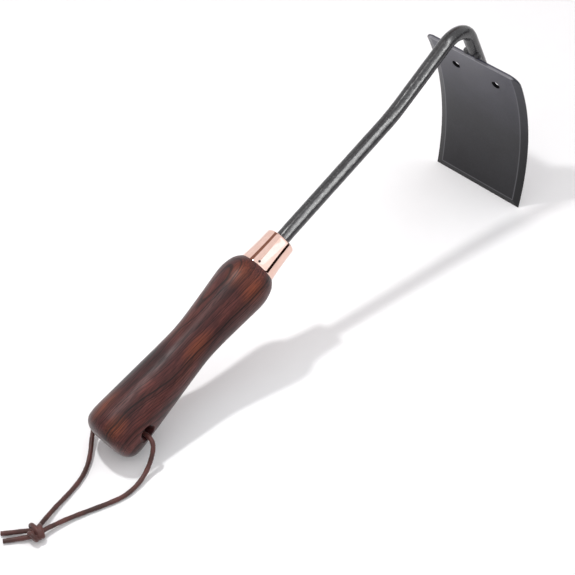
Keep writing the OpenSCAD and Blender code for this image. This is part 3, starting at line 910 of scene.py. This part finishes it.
# %% [markdown]
# The lace is waxed leather, dark brown with redder patches. Fine pits make its wax uneven, and a
# little sheen stands for the fibres on its skin.
# %% Waxed leather
leather, add, into = new_finish("waxed_leather", Specular_IOR_Level=0.4, Sheen_Weight=0.15,
                                Sheen_Roughness=0.4)
spot = object_spot(add)
patch = add("TexNoise", {"Vector": spot, "Scale": 130, "Detail": 3})
pits = add("TexNoise", {"Vector": spot, "Scale": 2600, "Detail": 3, "Roughness": 0.6})
tone = ramp(add, patch, [(0.3, (0.035, 0.012, 0.009)), (0.7, (0.1, 0.03, 0.025))])
into("Base Color", times(add, tone, ramp(add, pits, [(0.3, 0.6), (0.6, 1.1)]), 0.5))
into("Roughness", ramp(add, pits, [(0.3, 0.55), (0.7, 0.38)]))
into("Normal", add("Bump", {"Height": pits, "Strength": 0.3, "Distance": 0.08 * MM}))
for piece in (strand_left, strand_right, knot, tails):
    dress(piece, leather)

# %% [markdown]
# The pin is blackened iron, and the glue in the bore is amber resin, which nobody sees. Both need
# only a colour and a gloss that vary with one noise.
# %% Iron and resin
for name, scale, piece, tones, gloss, values in (
        ("blackened_iron", 3000, pin, ((0.03, 0.022, 0.018), (0.07, 0.05, 0.04)), (0.4, 0.6),
         {"Metallic": 0.6}),
        ("amber_resin", 300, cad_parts["tang_resin"],
         ((0.42, 0.28, 0.1), (0.6, 0.44, 0.2)), (0.3, 0.45), {"Coat_Weight": 0.5})):
    finish, add, into = new_finish(name, **values)
    noise = add("TexNoise", {"Vector": object_spot(add), "Scale": scale})
    into("Base Color", ramp(add, noise, [(0.3, tones[0]), (0.7, tones[1])]))
    into("Roughness", ramp(add, noise, [(0.3, gloss[0]), (0.7, gloss[1])]))
    dress(piece, finish)

# %% [markdown]
# ## The studio
# A plain white floor under an even white sky, as in a light tent. The floor is white paper with a
# faint fibre, and it has no gloss.
# %% The floor
pick_nothing()
bpy.ops.mesh.primitive_plane_add(size=40)
floor = bpy.context.object
floor.name = "floor"
paper, add, into = new_finish("white_paper", Roughness=0.9, Specular_IOR_Level=0.0)
fibre = add("TexNoise", {"Vector": object_spot(add), "Scale": 60})
into("Base Color", ramp(add, fibre, [(0.3, (0.895, 0.895, 0.9)), (0.7, (0.905, 0.905, 0.91))]))
dress(floor, paper)

# %% [markdown]
# A real tent has openings, and polished copper shows them as dark lines. So the sky has two dim
# gaps: a low one along the horizon on the tool's right, and a high one on its left. The direction
# of the sky is a vector of length 1, and each gap is a range of its Y and its Z.
# %% The sky
world = bpy.data.worlds.new("light_tent")
bpy.context.scene.world = world
world.use_nodes = True
sky = world.node_tree.nodes["Background"]
add = adder(world.node_tree)
WHITE_SKY, WARM_GAP = (0.985, 0.985, 1.0, 1), (1.0, 0.62, 0.5, 1)
SKY_LIGHT, LOW_GAP_LIGHT, HIGH_GAP_SHARE = 1.06, 0.02, 0.27


def between(value, low, high, soft):
    """1 where the value lies between low and high, with soft borders, else 0."""
    rise = add("MapRange", {"Value": value, "From Min": low - soft, "From Max": low + soft})
    return calc(add, "MULTIPLY", rise, fall(add, value, high - soft, high + soft))


way = add("TexCoord").node.outputs["Generated"]
way = add("SeparateXYZ", {"Vector": way}).node.outputs
gap_low = calc(add, "MULTIPLY", between(way[2], -0.02, 0.12, 0.012),
               between(way[1], -1.2, -0.05, 0.1))
gap_high = calc(add, "MULTIPLY", between(way[1], 0.34, 0.64, 0.02),
                between(way[2], 0.25, 1.2, 0.1))
strength = calc(add, "MULTIPLY", fall(add, gap_low, 0.0, 1.0, SKY_LIGHT, LOW_GAP_LIGHT),
                fall(add, gap_high, 0.0, 1.0, 1.0, HIGH_GAP_SHARE))
world.node_tree.links.new(strength, sky.inputs["Strength"])
world.node_tree.links.new(mixed(add, gap_high, WHITE_SKY, WARM_GAP), sky.inputs["Color"])
print("sky nodes:", len(world.node_tree.nodes))


# %% [markdown]
# One lamp above the butt end casts the soft shadow. A wide soft panel beside the tool shows only in
# gloss, and so do two bright strips in the middle of it. They hang in the same place, but each one
# lights one piece: a strong white one the rod, and a weak cool one the collar, so that the copper
# turns cream there and not pure white.
# %% Lamps
def lamp(name, at, aim, size, radiance, glossy_only=False, shape="RECTANGLE", colour=(1, 1, 1)):
    """A flat lamp. radiance is how bright its face looks, where white paper is about 1."""
    pick_nothing()
    bpy.ops.object.light_add(type="AREA", location=at)
    light = bpy.context.object
    light.name = name
    light.rotation_euler = (Vector(aim) - Vector(at)).to_track_quat("-Z", "X").to_euler()
    light.data.shape = shape
    light.data.size, light.data.size_y = size
    light.data.color = colour
    area = size[0] * size[1] * (math.pi / 4 if shape == "ELLIPSE" else 1)
    light.data.energy = radiance * math.pi * area
    light.visible_camera = False
    light.visible_diffuse = not glossy_only
    print(name, round(light.data.energy, 2), "W")
    return light


TOOL_MIDDLE = Vector((0.03, 0, 0.06))
PANEL_AT = TOOL_MIDDLE + 3 * Vector((0.07, -0.74, 0.66))
STRIP_AT = TOOL_MIDDLE + 2.9 * Vector((0.07, -0.78, 0.62))
lamp("key_lamp", (-0.149, 0.162, 0.569), (0, 0, 0.03), (0.045, 0.045), 330, shape="ELLIPSE")
lamp("soft_panel", PANEL_AT, TOOL_MIDDLE, (4.0, 2.6), 0.3, glossy_only=True)
for piece, name, radiance, colour in ((rod, "rod_strip", 16, (1, 1, 1)),
                                      (collar, "collar_strip", 0.55, (0.3, 0.75, 1.0))):
    strip = lamp(name, STRIP_AT, TOOL_MIDDLE, (4.0, 0.5), radiance, glossy_only=True,
                 colour=colour)
    lit = bpy.data.collections.new(name + "_lights")
    lit.objects.link(piece)
    strip.light_linking.receiver_collection = lit

# %% [markdown]
# The copper's darkest line is the edge of the white floor. A low dark card stands there, on the
# tool's right. Only gloss can see it, so it casts no shadow and is never seen itself.
# %% A dark card that shows only in reflections
pick_nothing()
bpy.ops.mesh.primitive_plane_add(size=1, location=(0.5, -0.45, 0.075),
                                 rotation=(math.pi / 2, 0, 0))
card = bpy.context.object
card.name = "dark_card"
card.scale = (3.0, 0.15, 1)
settle(card)
felt, add, into = new_finish("black_felt", Base_Color=(0.02, 0.012, 0.01, 1), Roughness=1.0,
                             Specular_IOR_Level=0.0)
dress(card, felt)
for kind in ("camera", "diffuse", "shadow", "transmission", "volume_scatter"):
    setattr(card, "visible_" + kind, False)
bpy.context.scene.view_settings.view_transform = "Standard"
